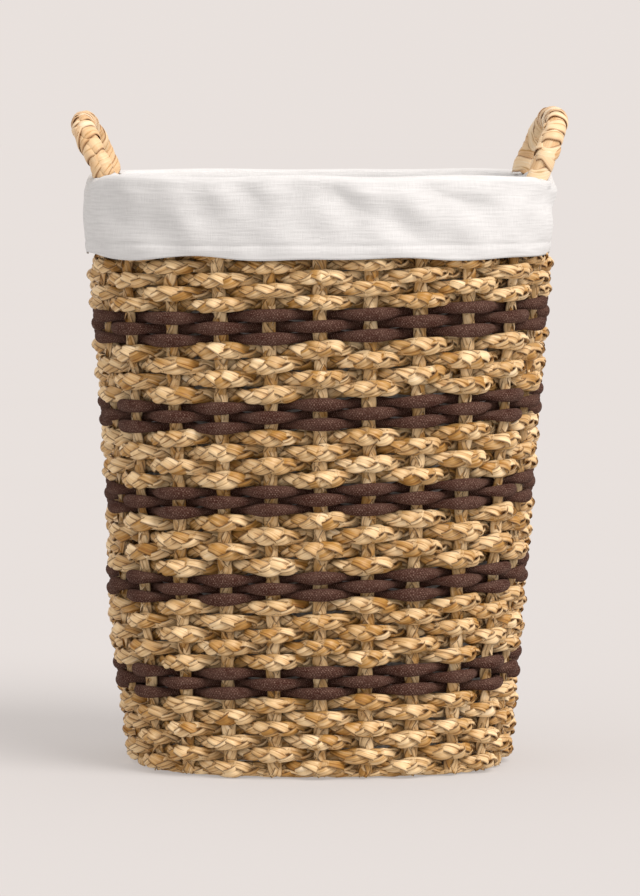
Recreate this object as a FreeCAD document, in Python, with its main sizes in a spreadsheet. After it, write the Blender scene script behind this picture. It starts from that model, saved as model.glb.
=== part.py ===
"""Tall oval laundry basket, hand woven from plaited leaf fibre and dark cord,
with two wrapped hoop handles and a loose cotton liner that folds over the rim.

Frame: millimetres, +Z up, +X to the basket's right, -Y its front.
The origin is the centre of the footprint on the ground.

The basket's plan is an oval of eight tangent arcs. Its wall leans out evenly, so
every level is the ground oval pushed outwards by `flare` times the height. A place
on the wall is an angle round that oval, a push outwards and a height.
"""
import FreeCAD, Part
import math
import os

V = FreeCAD.Vector
UP = V(0, 0, 1)

doc = FreeCAD.newDocument("laundry_basket")
sheet = doc.addObject("Spreadsheet::Sheet", "Sizes")

# name: (value in mm unless said otherwise, what it is)
SIZES = {
    "foot_half_width": (166.0, "ground oval, half its width along X, at the stake line"),
    "foot_half_depth": (137.0, "ground oval, half its depth along Y, at the stake line"),
    "front_radius": (315.0, "ground oval, radius of the front and back arcs"),
    "side_radius": (440.0, "ground oval, radius of the left and right arcs"),
    "corner_radius": (80.0, "ground oval, radius of the four corner arcs"),
    "flare": (0.078, "outward lean of the wall, mm per mm of height"),
    "stake_count": (26, "upright stakes, an even number"),
    "stake_breadth": (12.0, "upright stake, across the wall's face"),
    "stake_thickness": (6.5, "upright stake, through the wall"),
    "plait_thickness": (11.0, "plaited strand, through the wall"),
    "cord_thickness": (9.6, "dark cord, through the wall"),
    "weave_clearance": (0.5, "gap between woven strands and what they pass"),
    "weave_bend": (16.0, "radius of a strand's bend round a stake"),
    "foot_border_height": (4.0, "flat ring under the stakes"),
    "foot_border_width": (14.0, "flat ring under the stakes"),
    "batten_width": (14.0, "fore and aft battens of the floor"),
    "batten_pitch": (44.0, "spacing of the floor battens"),
    "batten_thickness": (3.6, "fore and aft battens of the floor"),
    "mat_strip_width": (14.0, "plaits of the floor mat"),
    "mat_strip_gap": (0.4, "gap between plaits of the floor mat"),
    "mat_thickness": (8.0, "plaits of the floor mat"),
    "border_height": (14.0, "rim border"),
    "border_width": (24.0, "rim border"),
    "border_wall": (3.1, "rim border, its inner side wall beside the groove"),
    "groove_depth": (9.0, "groove under the rim border"),
    "stake_seat": (3.0, "how far the stakes enter the rim border"),
    "rim_wire_diameter": (5.0, "hoop inside the rim border"),
    "core_diameter": (6.0, "wire inside a handle"),
    "core_leg_depth": (112.0, "how far a handle's wire runs down below the border"),
    "handle_height": (49.0, "middle of the grip above the rim border"),
    "handle_knee": (12.0, "where the handles start to lean, above the rim border"),
    "handle_lean": (26.0, "outward lean of the handles, degrees"),
    "handle_corner": (46.0, "bend radius at a handle's upper corners"),
    "wrap_diameter": (24.6, "handle with its leaf wrapping"),
    "fit_clearance": (0.3, "gap between parts that are laid or slid together"),
    "liner_thickness": (2.0, "hemmed cotton, two layers with its seams"),
    "liner_clearance": (0.6, "gap between the liner and the weave"),
    "cuff_depth": (73.0, "liner cuff, from the rim down to its hem"),
    "handle_hole_clearance": (1.5, "gap between a handle and the liner's hole"),
}

# courses from the ground up: kind, rows, spacing of the rows
COURSES = [
    ("plait", 6, 11.8),
    ("cord", 3, 9.3),
    ("plait", 5, 12.1),
    ("cord", 3, 8.4),
    ("plait", 4, 13.4),
    ("cord", 3, 8.6),
    ("plait", 4, 12.7),
    ("cord", 3, 9.0),
    ("plait", 4, 13.0),
    ("cord", 3, 9.9),
    ("plait", 4, 11.2),
    ("plait", 4, 14.0),
]


def fill_sheet():
    """Write every driving size and every course into the sheet, with its alias."""
    cells = list(SIZES.items())
    for i, (kind, rows, pitch) in enumerate(COURSES, 1):
        cells.append((f"course_{i}_rows", (rows, f"rows of {kind} in this course")))
        cells.append((f"course_{i}_pitch", (pitch, f"spacing of this course's {kind} rows")))
    for line, (alias, (value, note)) in enumerate(cells, 1):
        sheet.set(f"A{line}", alias.replace("_", " "))
        sheet.set(f"B{line}", str(value))
        sheet.setAlias(f"B{line}", alias)
        sheet.set(f"C{line}", note)
    doc.recompute()


def size(alias):
    """One driving size, read back from the sheet."""
    return float(sheet.get(alias))


fill_sheet()

FLARE = size("flare")
GAP = size("weave_clearance")
FIT = size("fit_clearance")
STAKES = int(size("stake_count"))
STAKE_HALF = size("stake_thickness") / 2
THICKNESS = {kind: size(f"{kind}_thickness") for kind in ("plait", "cord")}
WEAVE_REACH = STAKE_HALF + GAP + THICKNESS["plait"]  # thickest strand, from the stake line


# ---------------------------------------------------------------- the oval

def oval_arcs():
    """The ground oval as (centre x, centre y, radius, start angle, end angle)."""
    big, side, small = size("front_radius"), size("side_radius"), size("corner_radius")
    front_centre = V(0, size("foot_half_depth") - big, 0)
    side_centre = V(size("foot_half_width") - side, 0, 0)
    line = side_centre - front_centre
    reach = line.Length
    along = ((big - small) ** 2 - (side - small) ** 2 + reach ** 2) / (2 * reach)
    across = math.sqrt((big - small) ** 2 - along ** 2)
    line.normalize()
    corner = front_centre + line * along + V(line.y, -line.x, 0) * across
    low = math.atan2(corner.y - side_centre.y, corner.x - side_centre.x)
    high = math.atan2(corner.y - front_centre.y, corner.x - front_centre.x)
    cx, cy, sx, fy = corner.x, corner.y, side_centre.x, front_centre.y
    turn = math.pi
    return [
        (sx, 0, side, -low, low),
        (cx, cy, small, low, high),
        (0, fy, big, high, turn - high),
        (-cx, cy, small, turn - high, turn - low),
        (-sx, 0, side, turn - low, turn + low),
        (-cx, -cy, small, turn + low, turn + high),
        (0, -fy, big, turn + high, 2 * turn - high),
        (cx, -cy, small, 2 * turn - high, 2 * turn - low),
    ]


ARCS = oval_arcs()


def outward(angle):
    """Unit vector straight out of the wall at an angle round the oval."""
    return V(math.cos(angle), math.sin(angle), 0)


def wall_point(angle, push, height):
    """Point at an angle round the oval, pushed out from the ground oval."""
    angle = (angle - ARCS[0][3]) % (2 * math.pi) + ARCS[0][3]
    for cx, cy, radius, _start, end in ARCS:
        if angle <= end:
            return V(cx, cy, height) + outward(angle) * (radius + push)
    raise ValueError("angle outside the oval")


def oval_wire(push, height):
    """The oval at a height, as one closed wire of arcs."""
    edges = []
    for cx, cy, radius, start, end in ARCS:
        centre = V(cx, cy, height)
        ends = [centre + outward(a) * (radius + push) for a in (start, (start + end) / 2, end)]
        edges.append(Part.Arc(*ends).toShape())
    return Part.Wire(edges)


def oval_prism(push, low, high):
    """Upright solid oval between two heights."""
    return Part.Face(oval_wire(push, low)).extrude(UP * (high - low))


def oval_ring(profile):
    """Solid whose section, as (push, height) corners, runs round the oval."""
    angle = ARCS[0][3]
    corners = [wall_point(angle, push, height) for push, height in profile]
    section = Part.makePolygon(corners + corners[:1])
    spine = oval_wire(0, profile[0][1])
    return spine.makePipeShell([section], True, False)


def stake_angles():
    """Angles of the stakes, evenly spaced round the wall at half its height."""
    push = FLARE * RIM_LOW / 2
    lengths = [(radius + push) * (end - start) for _x, _y, radius, start, end in ARCS]
    total = sum(lengths)
    front = sum(lengths[:6]) + lengths[6] / 2
    angles = []
    for k in range(STAKES):
        left = (front + total * k / STAKES) % total
        for (_x, _y, radius, start, _end), length in zip(ARCS, lengths):
            if left <= length:
                angles.append(start + left / (radius + push))
                break
            left -= length
    return angles


# ---------------------------------------------------------------- paths

def rounded_path(corners, radii, closed):
    """Straight runs joined by tangent arcs, one radius for each inner corner."""
    count = len(corners)
    inner = range(count) if closed else range(1, count - 1)
    bends = {}
    for i in inner:
        here = corners[i]
        back = (corners[i - 1] - here).normalize()
        ahead = (corners[(i + 1) % count] - here).normalize()
        half = (math.pi - back.getAngle(ahead)) / 2
        reach = radii[i] * math.tan(half)
        inside = (back + ahead).normalize()
        middle = here + inside * (radii[i] / math.cos(half) - radii[i])
        bends[i] = (here + back * reach, middle, here + ahead * reach)
    edges = []
    for i in range(count):
        if i in bends:
            edges.append(Part.Arc(*bends[i]).toShape())
        if i + 1 < count or closed:
            following = (i + 1) % count
            begin = bends[i][2] if i in bends else corners[i]
            stop = bends[following][0] if following in bends else corners[following]
            edges.append(Part.LineSegment(begin, stop).toShape())
    return Part.Wire(edges)


def woven_path(height, reach, first_side):
    """Closed path that passes outside and inside the stakes in turn."""
    push = FLARE * height
    bend = size("weave_bend")
    sides = [first_side * (-1) ** k for k in range(STAKES)]
    depth = [reach] * STAKES
    for _step in range(12):
        corners = [
            wall_point(a, push + s * d, height) for a, s, d in zip(STAKE_ANGLES, sides, depth)
        ]
        for k, angle in enumerate(STAKE_ANGLES):
            here = corners[k]
            back = (corners[k - 1] - here).normalize()
            ahead = (corners[(k + 1) % STAKES] - here).normalize()
            half = (math.pi - back.getAngle(ahead)) / 2
            inside = (back + ahead).normalize()
            middle = here + inside * (bend / math.cos(half) - bend)
            reached = (middle - wall_point(angle, push, height)).dot(outward(angle))
            depth[k] += reach - reached * sides[k]
    return rounded_path(corners, [bend] * STAKES, True)


def strand(path, half_height, half_depth):
    """Solid strand with an oval section along a level path."""
    first = path.Edges[0]
    start = first.valueAt(first.FirstParameter)
    side = UP.cross(first.tangentAt(first.FirstParameter)).normalize()
    ends = [start + UP * half_height, start + side * half_depth]
    if half_depth > half_height:
        ends.reverse()
    section = Part.Wire([Part.Ellipse(ends[0], ends[1], start).toShape()])
    return path.makePipeShell([section], True, False)


def hoop(path, radius):
    """Round solid along a closed path."""
    first = path.Edges[0]
    start = first.valueAt(first.FirstParameter)
    section = Part.Wire([Part.Circle(start, first.tangentAt(first.FirstParameter), radius).toShape()])
    return path.makePipeShell([section], True, False)


def rod(path, radius):
    """Round solid along an open path of straight runs and arcs, run by run."""
    runs = []
    for edge in path.Edges:
        start, stop = edge.valueAt(edge.FirstParameter), edge.valueAt(edge.LastParameter)
        circle = Part.Circle(start, edge.tangentAt(edge.FirstParameter), radius)
        section = Part.Face(Part.Wire([circle.toShape()]))
        if isinstance(edge.Curve, Part.Circle):
            turn = math.degrees(edge.LastParameter - edge.FirstParameter)
            runs.append(section.revolve(edge.Curve.Center, edge.Curve.Axis, turn))
        else:
            runs.append(section.extrude(stop - start))
    return runs[0].fuse(runs[1:]).removeSplitter()


def add(label, shape):
    """Put one finished sub-part in the document."""
    piece = doc.addObject("Part::Feature", label)
    piece.Label = label
    piece.Shape = shape
    PIECES.append(piece)
    return piece


# ---------------------------------------------------------------- levels

def lay_rows():
    """Heights of all rows from the ground up, as (kind, height, spacing)."""
    rows = []
    top = size("foot_border_height") + GAP
    for i, (kind, _rows, _pitch) in enumerate(COURSES, 1):
        pitch = size(f"course_{i}_pitch")
        for _row in range(int(size(f"course_{i}_rows"))):
            rows.append((kind, top + pitch / 2, pitch))
            top += pitch
    return rows, top


ROWS, ROWS_TOP = lay_rows()
RIM_LOW = ROWS_TOP + GAP
RIM_TOP = RIM_LOW + size("border_height")
STAKE_ANGLES = stake_angles()
STAKE_FOOT = size("foot_border_height")
STAKE_TOP = RIM_LOW + size("stake_seat")
CORE_FOOT = RIM_LOW - size("core_leg_depth")
MAT_LOW = STAKE_FOOT + FIT
MAT_TOP = MAT_LOW + size("mat_thickness")
# each handle stands on the two stakes either side of the pair at its side's middle
SIDE_STAKE = STAKES // 4
HANDLE_STAKES = {
    "right": (SIDE_STAKE - 1, SIDE_STAKE + 2),
    "left": (STAKES - SIDE_STAKE + 1, STAKES - SIDE_STAKE - 2),
}
PIECES = []


# ---------------------------------------------------------------- woven wall

def make_rows():
    """One closed strand for each row, numbered from the ground up."""
    count = {"plait": 0, "cord": 0}
    for i, (kind, height, pitch) in enumerate(ROWS):
        count[kind] += 1
        half_depth = THICKNESS[kind] / 2
        path = woven_path(height, STAKE_HALF + GAP + half_depth, 1 if i % 2 == 0 else -1)
        add(f"{kind}_row_{count[kind]:02d}", strand(path, (pitch - GAP) / 2, half_depth))


def make_stakes():
    """Upright stakes; those under a handle stop where its wire begins."""
    under_handle = [k for pair in HANDLE_STAKES.values() for k in pair]
    bars = []
    for k, angle in enumerate(STAKE_ANGLES):
        top = CORE_FOOT if k in under_handle else STAKE_TOP
        foot = wall_point(angle, FLARE * STAKE_FOOT, STAKE_FOOT)
        across = foot + UP.cross(outward(angle)) * (size("stake_breadth") / 2)
        through = foot + outward(angle) * STAKE_HALF
        section = Part.Face(Part.Wire([Part.Ellipse(across, through, foot).toShape()]))
        bars.append(section.extrude((outward(angle) * FLARE + UP) * (top - STAKE_FOOT)))
    add("upright_stakes", Part.makeCompound(bars))


def make_rim():
    """Hoop of wire beside the stake tops, under a grooved border."""
    radius = size("rim_wire_diameter") / 2
    wire_push = -(max(STAKE_HALF, size("core_diameter") / 2) + GAP + radius)
    wire_height = RIM_LOW + size("groove_depth") - radius - FIT
    level = FLARE * wire_height
    add("rim_wire", hoop(oval_wire(level + wire_push, wire_height), radius))

    half = size("border_width") / 2
    groove_in = wire_push - radius - FIT
    groove_out = STAKE_HALF + FIT
    groove_top = RIM_LOW + size("groove_depth")
    base = FLARE * RIM_LOW
    inner = min(-half, groove_in - size("border_wall"))
    border = oval_ring([
        (base + inner, RIM_LOW),
        (base + groove_in, RIM_LOW),
        (base + groove_in, groove_top),
        (base + groove_out, groove_top),
        (base + groove_out, RIM_LOW),
        (base + half, RIM_LOW),
        (base + half, RIM_TOP),
        (base + inner, RIM_TOP),
    ])
    for side in HANDLE_STAKES:
        border = border.cut(rod(handle_path(side), size("core_diameter") / 2 + FIT))
    add("rim_border", border)


# ---------------------------------------------------------------- handles

def handle_path(side):
    """Middle line of a handle: up one stake line, over in a leaning arch, down the other."""
    lean = math.radians(size("handle_lean"))
    out = 1 if side == "right" else -1
    tilt = V(out * math.sin(lean), 0, math.cos(lean))
    knee_height = RIM_TOP + size("handle_knee")
    rise = (size("handle_height") - size("handle_knee")) / math.cos(lean)
    legs = []
    for k in HANDLE_STAKES[side]:
        angle = STAKE_ANGLES[k]
        foot = wall_point(angle, FLARE * CORE_FOOT, CORE_FOOT)
        knee = wall_point(angle, FLARE * knee_height, knee_height)
        legs.append([foot, knee, knee + tilt * rise])
    knee_bend = size("wrap_diameter")
    corner = size("handle_corner")
    radii = [0, knee_bend, corner, corner, knee_bend, 0]
    return rounded_path(legs[0] + legs[1][::-1], radii, False)


def make_handles():
    """A bent wire and the leaf wrapping round its arch, for each side."""
    radius = size("core_diameter") / 2
    wrap = size("wrap_diameter") / 2
    reach = 4 * size("foot_half_width")
    for side in HANDLE_STAKES:
        path = handle_path(side)
        foot = V(-reach / 2, -reach / 2, CORE_FOOT + FIT)
        core = rod(path, radius).common(Part.makeBox(reach, reach, reach, foot))
        add(f"handle_core_{side}", core)
        foot.z = RIM_TOP + FIT
        sleeve = rod(path, wrap).common(Part.makeBox(reach, reach, reach, foot))
        add(f"handle_wrap_{side}", sleeve.cut(rod(path, radius + FIT)))


# ---------------------------------------------------------------- floor

def make_floor():
    """Flat ring under the stakes, battens across it and a mat of plaits on top."""
    half = size("foot_border_width") / 2
    height = size("foot_border_height")
    add("foot_border", oval_ring([(-half, 0), (half, 0), (half, height), (-half, height)]))

    wide = 2 * size("foot_half_width")
    deep = 2 * size("foot_half_depth")
    batten_low = height - size("batten_thickness")
    count = int((wide / 2 - half) // size("batten_pitch"))
    battens = bars("batten", 2 * count + 1, size("batten_pitch"), batten_low)
    for box in battens:
        box.setExpression("Length", "Sizes.batten_width")
        box.setExpression("Height", "Sizes.batten_thickness")
        box.Width = deep
        box.Placement.Base.y = -deep / 2
        box.Placement.Base.x -= size("batten_width") / 2
    trimmed("floor_battens", battens, oval_prism(-half - FIT, 0, height))

    pitch = size("mat_strip_width") + size("mat_strip_gap")
    inner = -WEAVE_REACH - FIT
    count = round((deep / 2 + inner - size("mat_strip_width") / 2) / pitch)
    strips = bars("strip", 2 * count + 1, pitch, MAT_LOW)
    for box in strips:
        box.setExpression("Width", "Sizes.mat_strip_width")
        box.setExpression("Height", "Sizes.mat_thickness")
        box.Length = wide
        box.Placement.Base.y = box.Placement.Base.x - size("mat_strip_width") / 2
        box.Placement.Base.x = -wide / 2
    trimmed("floor_mat", strips, oval_prism(inner, MAT_LOW, MAT_TOP))


def bars(name, count, pitch, low):
    """Boxes in a row along X at one height, centred on the origin."""
    boxes = []
    for i in range(count):
        box = doc.addObject("Part::Box", f"{name}_{i + 1}")
        box.Placement.Base = V((i - (count - 1) / 2) * pitch, 0, low)
        boxes.append(box)
    return boxes


def trimmed(label, boxes, outline):
    """A group of boxes cut to an outline, each left as its own solid."""
    group = doc.addObject("Part::Compound", f"{label}_blanks")
    group.Links = boxes
    edge = doc.addObject("Part::Feature", f"{label}_outline")
    edge.Shape = outline
    piece = doc.addObject("Part::Common", label)
    piece.Base = group
    piece.Tool = edge
    piece.Label = label
    PIECES.append(piece)


# ---------------------------------------------------------------- liner

def make_liner():
    """Cotton bag: wall, floor, turned-down cuff, and the cuff's two side flaps."""
    cloth = size("liner_thickness")
    slack = size("liner_clearance")
    low = MAT_TOP + FIT
    fold_low = RIM_TOP + FIT
    fold_top = fold_low + cloth
    outer = -WEAVE_REACH - slack
    inner = outer - cloth
    wall_top = fold_low - GAP
    add("liner_wall", oval_ring([
        (FLARE * low + inner, low),
        (FLARE * low + outer, low),
        (FLARE * wall_top + outer, wall_top),
        (FLARE * wall_top + inner, wall_top),
    ]))
    add("liner_floor", oval_prism(FLARE * low + inner - GAP, low, low + cloth))

    skirt_in = WEAVE_REACH + slack
    skirt_out = skirt_in + cloth
    hem = fold_top - size("cuff_depth")
    cuff = oval_ring([
        (FLARE * fold_top + inner, fold_top),
        (FLARE * fold_top + skirt_out, fold_top),
        (FLARE * hem + skirt_out, hem),
        (FLARE * hem + skirt_in, hem),
        (FLARE * fold_low + skirt_in, fold_low),
        (FLARE * fold_low + inner, fold_low),
    ])
    # the flaps reach just past the handles, so that the rest can be lifted between them
    leg = wall_point(STAKE_ANGLES[HANDLE_STAKES["right"][0]], FLARE * RIM_TOP, RIM_TOP)
    hole = size("wrap_diameter") / 2 + size("handle_hole_clearance")
    half = abs(leg.y) + hole + cloth
    reach = 2 * size("foot_half_width")
    sides = Part.makeBox(2 * reach, 2 * half, 2 * RIM_TOP, V(-reach, -half, 0))
    add("liner_cuff", cuff.cut(sides))
    flaps = cuff.common(sides)
    for out in (1, -1):
        for depth in (1, -1):
            centre = V(out * leg.x, depth * leg.y, fold_low - cloth)
            flaps = flaps.cut(Part.makeCylinder(hole, 3 * cloth, centre, UP))
    add("liner_side_flaps", flaps)


make_rows()
make_stakes()
make_rim()
make_handles()
make_floor()
make_liner()
doc.recompute()

# ---------------------------------------------------------------- write the parts

for thing in doc.Objects:
    if {"Invalid", "Error"} & set(thing.State):
        raise RuntimeError(f"{thing.Label} did not build: {thing.State}")
for piece in PIECES:
    if piece.Shape.isNull() or not piece.Shape.isValid() or not piece.Shape.Solids:
        raise RuntimeError(f"{piece.Label} is not a sound solid")

os.makedirs("parts", exist_ok=True)
for piece in PIECES:
    piece.Shape.exportStep(f"parts/{piece.Label}.step")
print(len(PIECES), "parts, top of the rim border at", round(RIM_TOP, 1), "mm")
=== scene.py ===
"""Woven laundry basket with a cotton liner: the visible pieces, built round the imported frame.

Metres, +Z up, +X to the basket's right, -Y its front. A place on the wall is an angle
round the ground oval, a push straight out from it and a height.
"""
import math

import bmesh
import bpy
import numpy as np
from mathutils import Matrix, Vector


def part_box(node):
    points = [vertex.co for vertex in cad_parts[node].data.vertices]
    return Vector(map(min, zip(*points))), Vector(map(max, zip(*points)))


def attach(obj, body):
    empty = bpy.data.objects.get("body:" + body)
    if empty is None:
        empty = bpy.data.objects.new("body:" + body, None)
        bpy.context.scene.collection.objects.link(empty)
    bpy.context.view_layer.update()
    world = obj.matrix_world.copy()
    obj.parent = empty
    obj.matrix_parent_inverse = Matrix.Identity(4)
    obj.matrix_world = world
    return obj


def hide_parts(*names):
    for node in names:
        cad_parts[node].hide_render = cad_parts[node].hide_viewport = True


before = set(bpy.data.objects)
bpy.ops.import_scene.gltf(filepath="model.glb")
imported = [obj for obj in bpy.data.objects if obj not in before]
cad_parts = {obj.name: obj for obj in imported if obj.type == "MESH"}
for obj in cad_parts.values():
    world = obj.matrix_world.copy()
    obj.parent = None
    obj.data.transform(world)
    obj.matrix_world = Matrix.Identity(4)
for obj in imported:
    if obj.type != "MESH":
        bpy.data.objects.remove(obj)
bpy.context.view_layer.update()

bl_info = {
    "name": "Woven laundry basket",
    "version": (1, 0, 0),
    "blender": (4, 5, 0),
    "location": "3D View > Sidebar > Basket",
    "description": "Plaited leaf basket with cord bands, hoop handles and a folded cotton liner",
    "category": "Object",
}

TURN = 2 * math.pi
UP = np.array([0.0, 0.0, 1.0])
STAKES = 26
HANDLE_STAKES = {"right": (5, 8), "left": (21, 18)}
FRONT_RADIUS = 0.315
SIDE_RADIUS = 0.440
CORNER_RADIUS = 0.080
RIM_WIDTH = 0.024
WEAVE_REACH = 0.01475
STRANDS = 3

# How far a row swings to each side of the stakes, half the ground border's width, and the
# air between the weave and the cloth.
ROW_REACH = 0.0088
FOOT_RING_HALF = 0.007
LINER_GAP = 0.0022

# Faces across a leaf's crown and underside, round a cord, and along one turn of a plait.
BROAD_LEAF = (10, 3)
NARROW_LEAF = (6, 3)
ROUND_SIDES = 20
ROW_SECTIONS = 20
STAKE_SECTIONS = 18
MAT_SECTIONS = 14

# The square layout: length of one cell of a strand, and the bands of a cloth.
CELL_LENGTH = 0.16
CELL_MARGIN = 0.03
CLOTH_BANDS = 3
BAND_MARGIN = 0.02


# ---------------------------------------------------------------- settings

def length(name, description, default):
    """A size in metres."""
    return bpy.props.FloatProperty(
        name=name, description=description, default=default, unit="LENGTH", subtype="DISTANCE"
    )


def colour(name, description, default):
    """A linear colour."""
    return bpy.props.FloatVectorProperty(
        name=name, description=description, default=default, size=3, min=0, max=1, subtype="COLOR"
    )


class PlaitSettings(bpy.types.PropertyGroup):
    """Sizes of the plaited leaf rows and stakes."""
    leaf_width: length("Leaf width", "Width of one leaf strand in a row", 0.0112)
    leaf_thickness: length("Leaf thickness", "Thickness of one leaf strand in a row", 0.0036)
    period: length("Plait period", "Length in which a strand returns to its place", 0.051)
    swell: length("Plait swell", "How far strands pass over and under each other", 0.0027)
    stake_leaf_width: length("Stake leaf width", "Width of one leaf strand in a stake", 0.0102)
    stake_period: length("Stake period", "Length in which a stake's strand returns", 0.050)
    lean: length("Lean of the rows", "How far the rows climb from left to right", 0.005)


class CordSettings(bpy.types.PropertyGroup):
    """Sizes of the dark cords."""
    height: length("Cord height", "Height of a cord where it passes outside a stake", 0.0122)
    depth: length("Cord depth", "Thickness of a cord through the wall", 0.0100)


class HandleSettings(bpy.types.PropertyGroup):
    """Sizes of the wrapped handles."""
    core_radius: length("Core radius", "Radius under the leaf wrapping", 0.0091)
    ribbon_width: length("Ribbon width", "Width of the leaf wound round a handle", 0.0138)
    ribbon_thickness: length("Ribbon thickness", "Thickness of that leaf", 0.0012)
    pitch: length("Winding pitch", "Distance between turns of the winding", 0.0102)


class LinerSettings(bpy.types.PropertyGroup):
    """Sizes of the cotton liner."""
    cloth: length("Cloth thickness", "Thickness of the cotton", 0.0012)
    hem: length("Hem depth", "Depth of the stitched hem", 0.012)
    wrinkle: length("Wrinkle depth", "How deep the soft folds are", 0.0034)


class ColourSettings(bpy.types.PropertyGroup):
    """Colours of the basket and of the stage."""
    leaf_pale: colour("Leaf, pale", "Bleached parts of the leaf", (0.91, 0.69, 0.40))
    leaf_mid: colour("Leaf, mid", "Main colour of the leaf", (0.45, 0.235, 0.056))
    # Besides browned leaf, leaf_deep paints the shade along each plaited leaf's groove and at the
    # handle leaf's edges.
    leaf_deep: colour("Leaf, deep", "Browned parts of the leaf", (0.21, 0.068, 0.007))
    # Painted shade: a near-black for each leaf's edges and slits, where shade falls between the
    # leaves.
    leaf_edge_shade: colour("Leaf, slits", "Edges and slits of the leaf", (0.052, 0.013, 0.001))
    handle_pale: colour("Handle leaf, pale", "Bleached parts of the handles", (0.88, 0.68, 0.43))
    handle_mid: colour("Handle leaf, mid", "Main colour of the handles", (0.72, 0.47, 0.245))
    cord: colour("Cord", "Main colour of the cords", (0.053, 0.0172, 0.0108))
    cord_fleck: colour("Cord flecks", "Lighter stitches of the cords", (0.34, 0.22, 0.17))
    cotton: colour("Cotton", "The liner", (0.72, 0.735, 0.738))
    floor: colour("Floor", "The plain floor", (0.31, 0.31, 0.31))
    air: colour("Air", "The light that comes from all round", (0.811, 0.753, 0.723))
    sun: bpy.props.FloatProperty(name="Window", description="Strength of the slanting light",
                                 default=2.6, min=0)


# ---------------------------------------------------------------- the wall

class Wall:
    """The basket's oval wall as the frame gives it."""

    def __init__(self):
        ring_low, ring_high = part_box("foot_border")
        rim_low, rim_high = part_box("rim_border")
        stakes_low, stakes_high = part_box("upright_stakes")
        self.half_width = ring_high[0] - FOOT_RING_HALF
        self.half_depth = ring_high[1] - FOOT_RING_HALF
        self.rim_low, self.rim_top = rim_low[2], rim_high[2]
        self.stake_foot, self.stake_top = stakes_low[2], stakes_high[2]
        self.flare = (rim_high[0] - RIM_WIDTH / 2 - self.half_width) / self.rim_low
        self.set_arcs()
        lengths = (self.radius + self.flare * self.rim_low / 2) * np.diff(self.edges)
        self.reached = np.concatenate([[0], np.cumsum(lengths)])
        self.front = self.reached[6] + lengths[6] / 2

    def set_arcs(self):
        """Centres, radii and edge angles of the oval's eight tangent arcs."""
        front_centre = np.array([0, self.half_depth - FRONT_RADIUS])
        side_centre = np.array([self.half_width - SIDE_RADIUS, 0])
        line = side_centre - front_centre
        reach = math.hypot(*line)
        near, far = FRONT_RADIUS - CORNER_RADIUS, SIDE_RADIUS - CORNER_RADIUS
        along = (near ** 2 - far ** 2 + reach ** 2) / (2 * reach)
        across = math.sqrt(near ** 2 - along ** 2)
        line = line / reach
        x, y = front_centre + line * along + np.array([line[1], -line[0]]) * across
        low = math.atan2(y - side_centre[1], x - side_centre[0])
        high = math.atan2(y - front_centre[1], x - front_centre[0])
        side_x, front_y = side_centre[0], front_centre[1]
        self.centre_x = np.array([side_x, x, 0, -x, -side_x, -x, 0, x])
        self.centre_y = np.array([0, y, front_y, y, 0, -y, -front_y, -y])
        ring = [SIDE_RADIUS, CORNER_RADIUS, FRONT_RADIUS, CORNER_RADIUS]
        self.radius = np.array(ring * 2)
        quarter = [-low, low, high, math.pi - high]
        self.edges = np.array(quarter + [a + math.pi for a in quarter] + [TURN - low])

    def angle(self, stake):
        """Angle round the oval of a stake number, whole or between stakes."""
        total = self.reached[-1]
        return np.interp((self.front + total * np.asarray(stake) / STAKES) % total,
                         self.reached, self.edges)

    def outward(self, angle):
        """Unit vectors straight out of the wall."""
        return np.stack([np.cos(angle), np.sin(angle), np.zeros_like(angle)], -1)

    def point(self, angle, push, height):
        """Places pushed out from the ground oval at a height."""
        angle = (angle - self.edges[0]) % TURN + self.edges[0]
        i = np.clip(np.searchsorted(self.edges, angle) - 1, 0, 7)
        reach = self.radius[i] + push
        x = self.centre_x[i] + reach * np.cos(angle)
        y = self.centre_y[i] + reach * np.sin(angle)
        return np.stack(np.broadcast_arrays(x, y, height), -1)

    def wall_push(self, angle, height):
        """How far the stake line stands out from the ground oval: its lean and a slight belly."""
        leftward = np.clip(-np.cos(angle), 0, 1) ** 2
        depth, middle, spread = 0.0070, 0.130, 0.085
        belly = depth * leftward * np.exp(-((height - middle) / spread) ** 2)
        return self.flare * height + belly

    def half_across(self, push, at, axis):
        """Half the oval's size along one axis at distances from the middle along the other."""
        quarter = self.point(np.linspace(0, math.pi / 2, 200), push, 0.0)
        x, y = quarter[:, 0], quarter[:, 1]
        if axis == 0:
            return np.interp(np.abs(at), y, x)
        return np.interp(np.abs(at), x[::-1], y[::-1])


WALL = Wall()


# ---------------------------------------------------------------- small tools

def unit(vectors):
    """Vectors scaled to length one."""
    return vectors / np.maximum(np.linalg.norm(vectors, axis=-1, keepdims=True), 1e-12)


def slope(points, closed):
    """Unit tangents along a line of points."""
    if closed:
        return unit(np.roll(points, -1, 0) - np.roll(points, 1, 0))
    return unit(np.gradient(points, axis=0))


def lengths_along(points):
    """How far along a line of points each one lies."""
    return np.concatenate([[0], np.cumsum(np.linalg.norm(np.diff(points, axis=0), axis=1))])


def along_line(places, reached, values):
    """Values stored along a line, read at other places on it."""
    return np.stack([np.interp(places, reached, column) for column in values.T], -1)


def ripple(random, count, waves, size, closed=True):
    """Smooth random numbers round a closed line, from a range of waves, of one typical size."""
    place = np.arange(count) / (count if closed else count - 1)
    total = np.zeros(count)
    for wave in range(waves[0], waves[1] + 1):
        total += random.normal() * np.cos(TURN * (wave * place + random.random()))
    return total * size / math.sqrt((waves[1] - waves[0] + 1) / 2)


def lens(top, bottom):
    """Section of a leaf: a crowned top and a flatter underside with sharp sides."""
    crown_power, under_depth = 2.4, 0.6
    over = np.cos(np.linspace(0, math.pi, top + 1))
    under = np.cos(np.linspace(math.pi, TURN, bottom + 1))[1:-1]
    x = np.concatenate([over, under])
    y = np.concatenate([1 - np.abs(over) ** crown_power, -under_depth * (1 - under ** 2)])
    sharp = np.zeros(len(x), bool)
    sharp[[0, top]] = True
    return x, y, sharp


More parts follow.
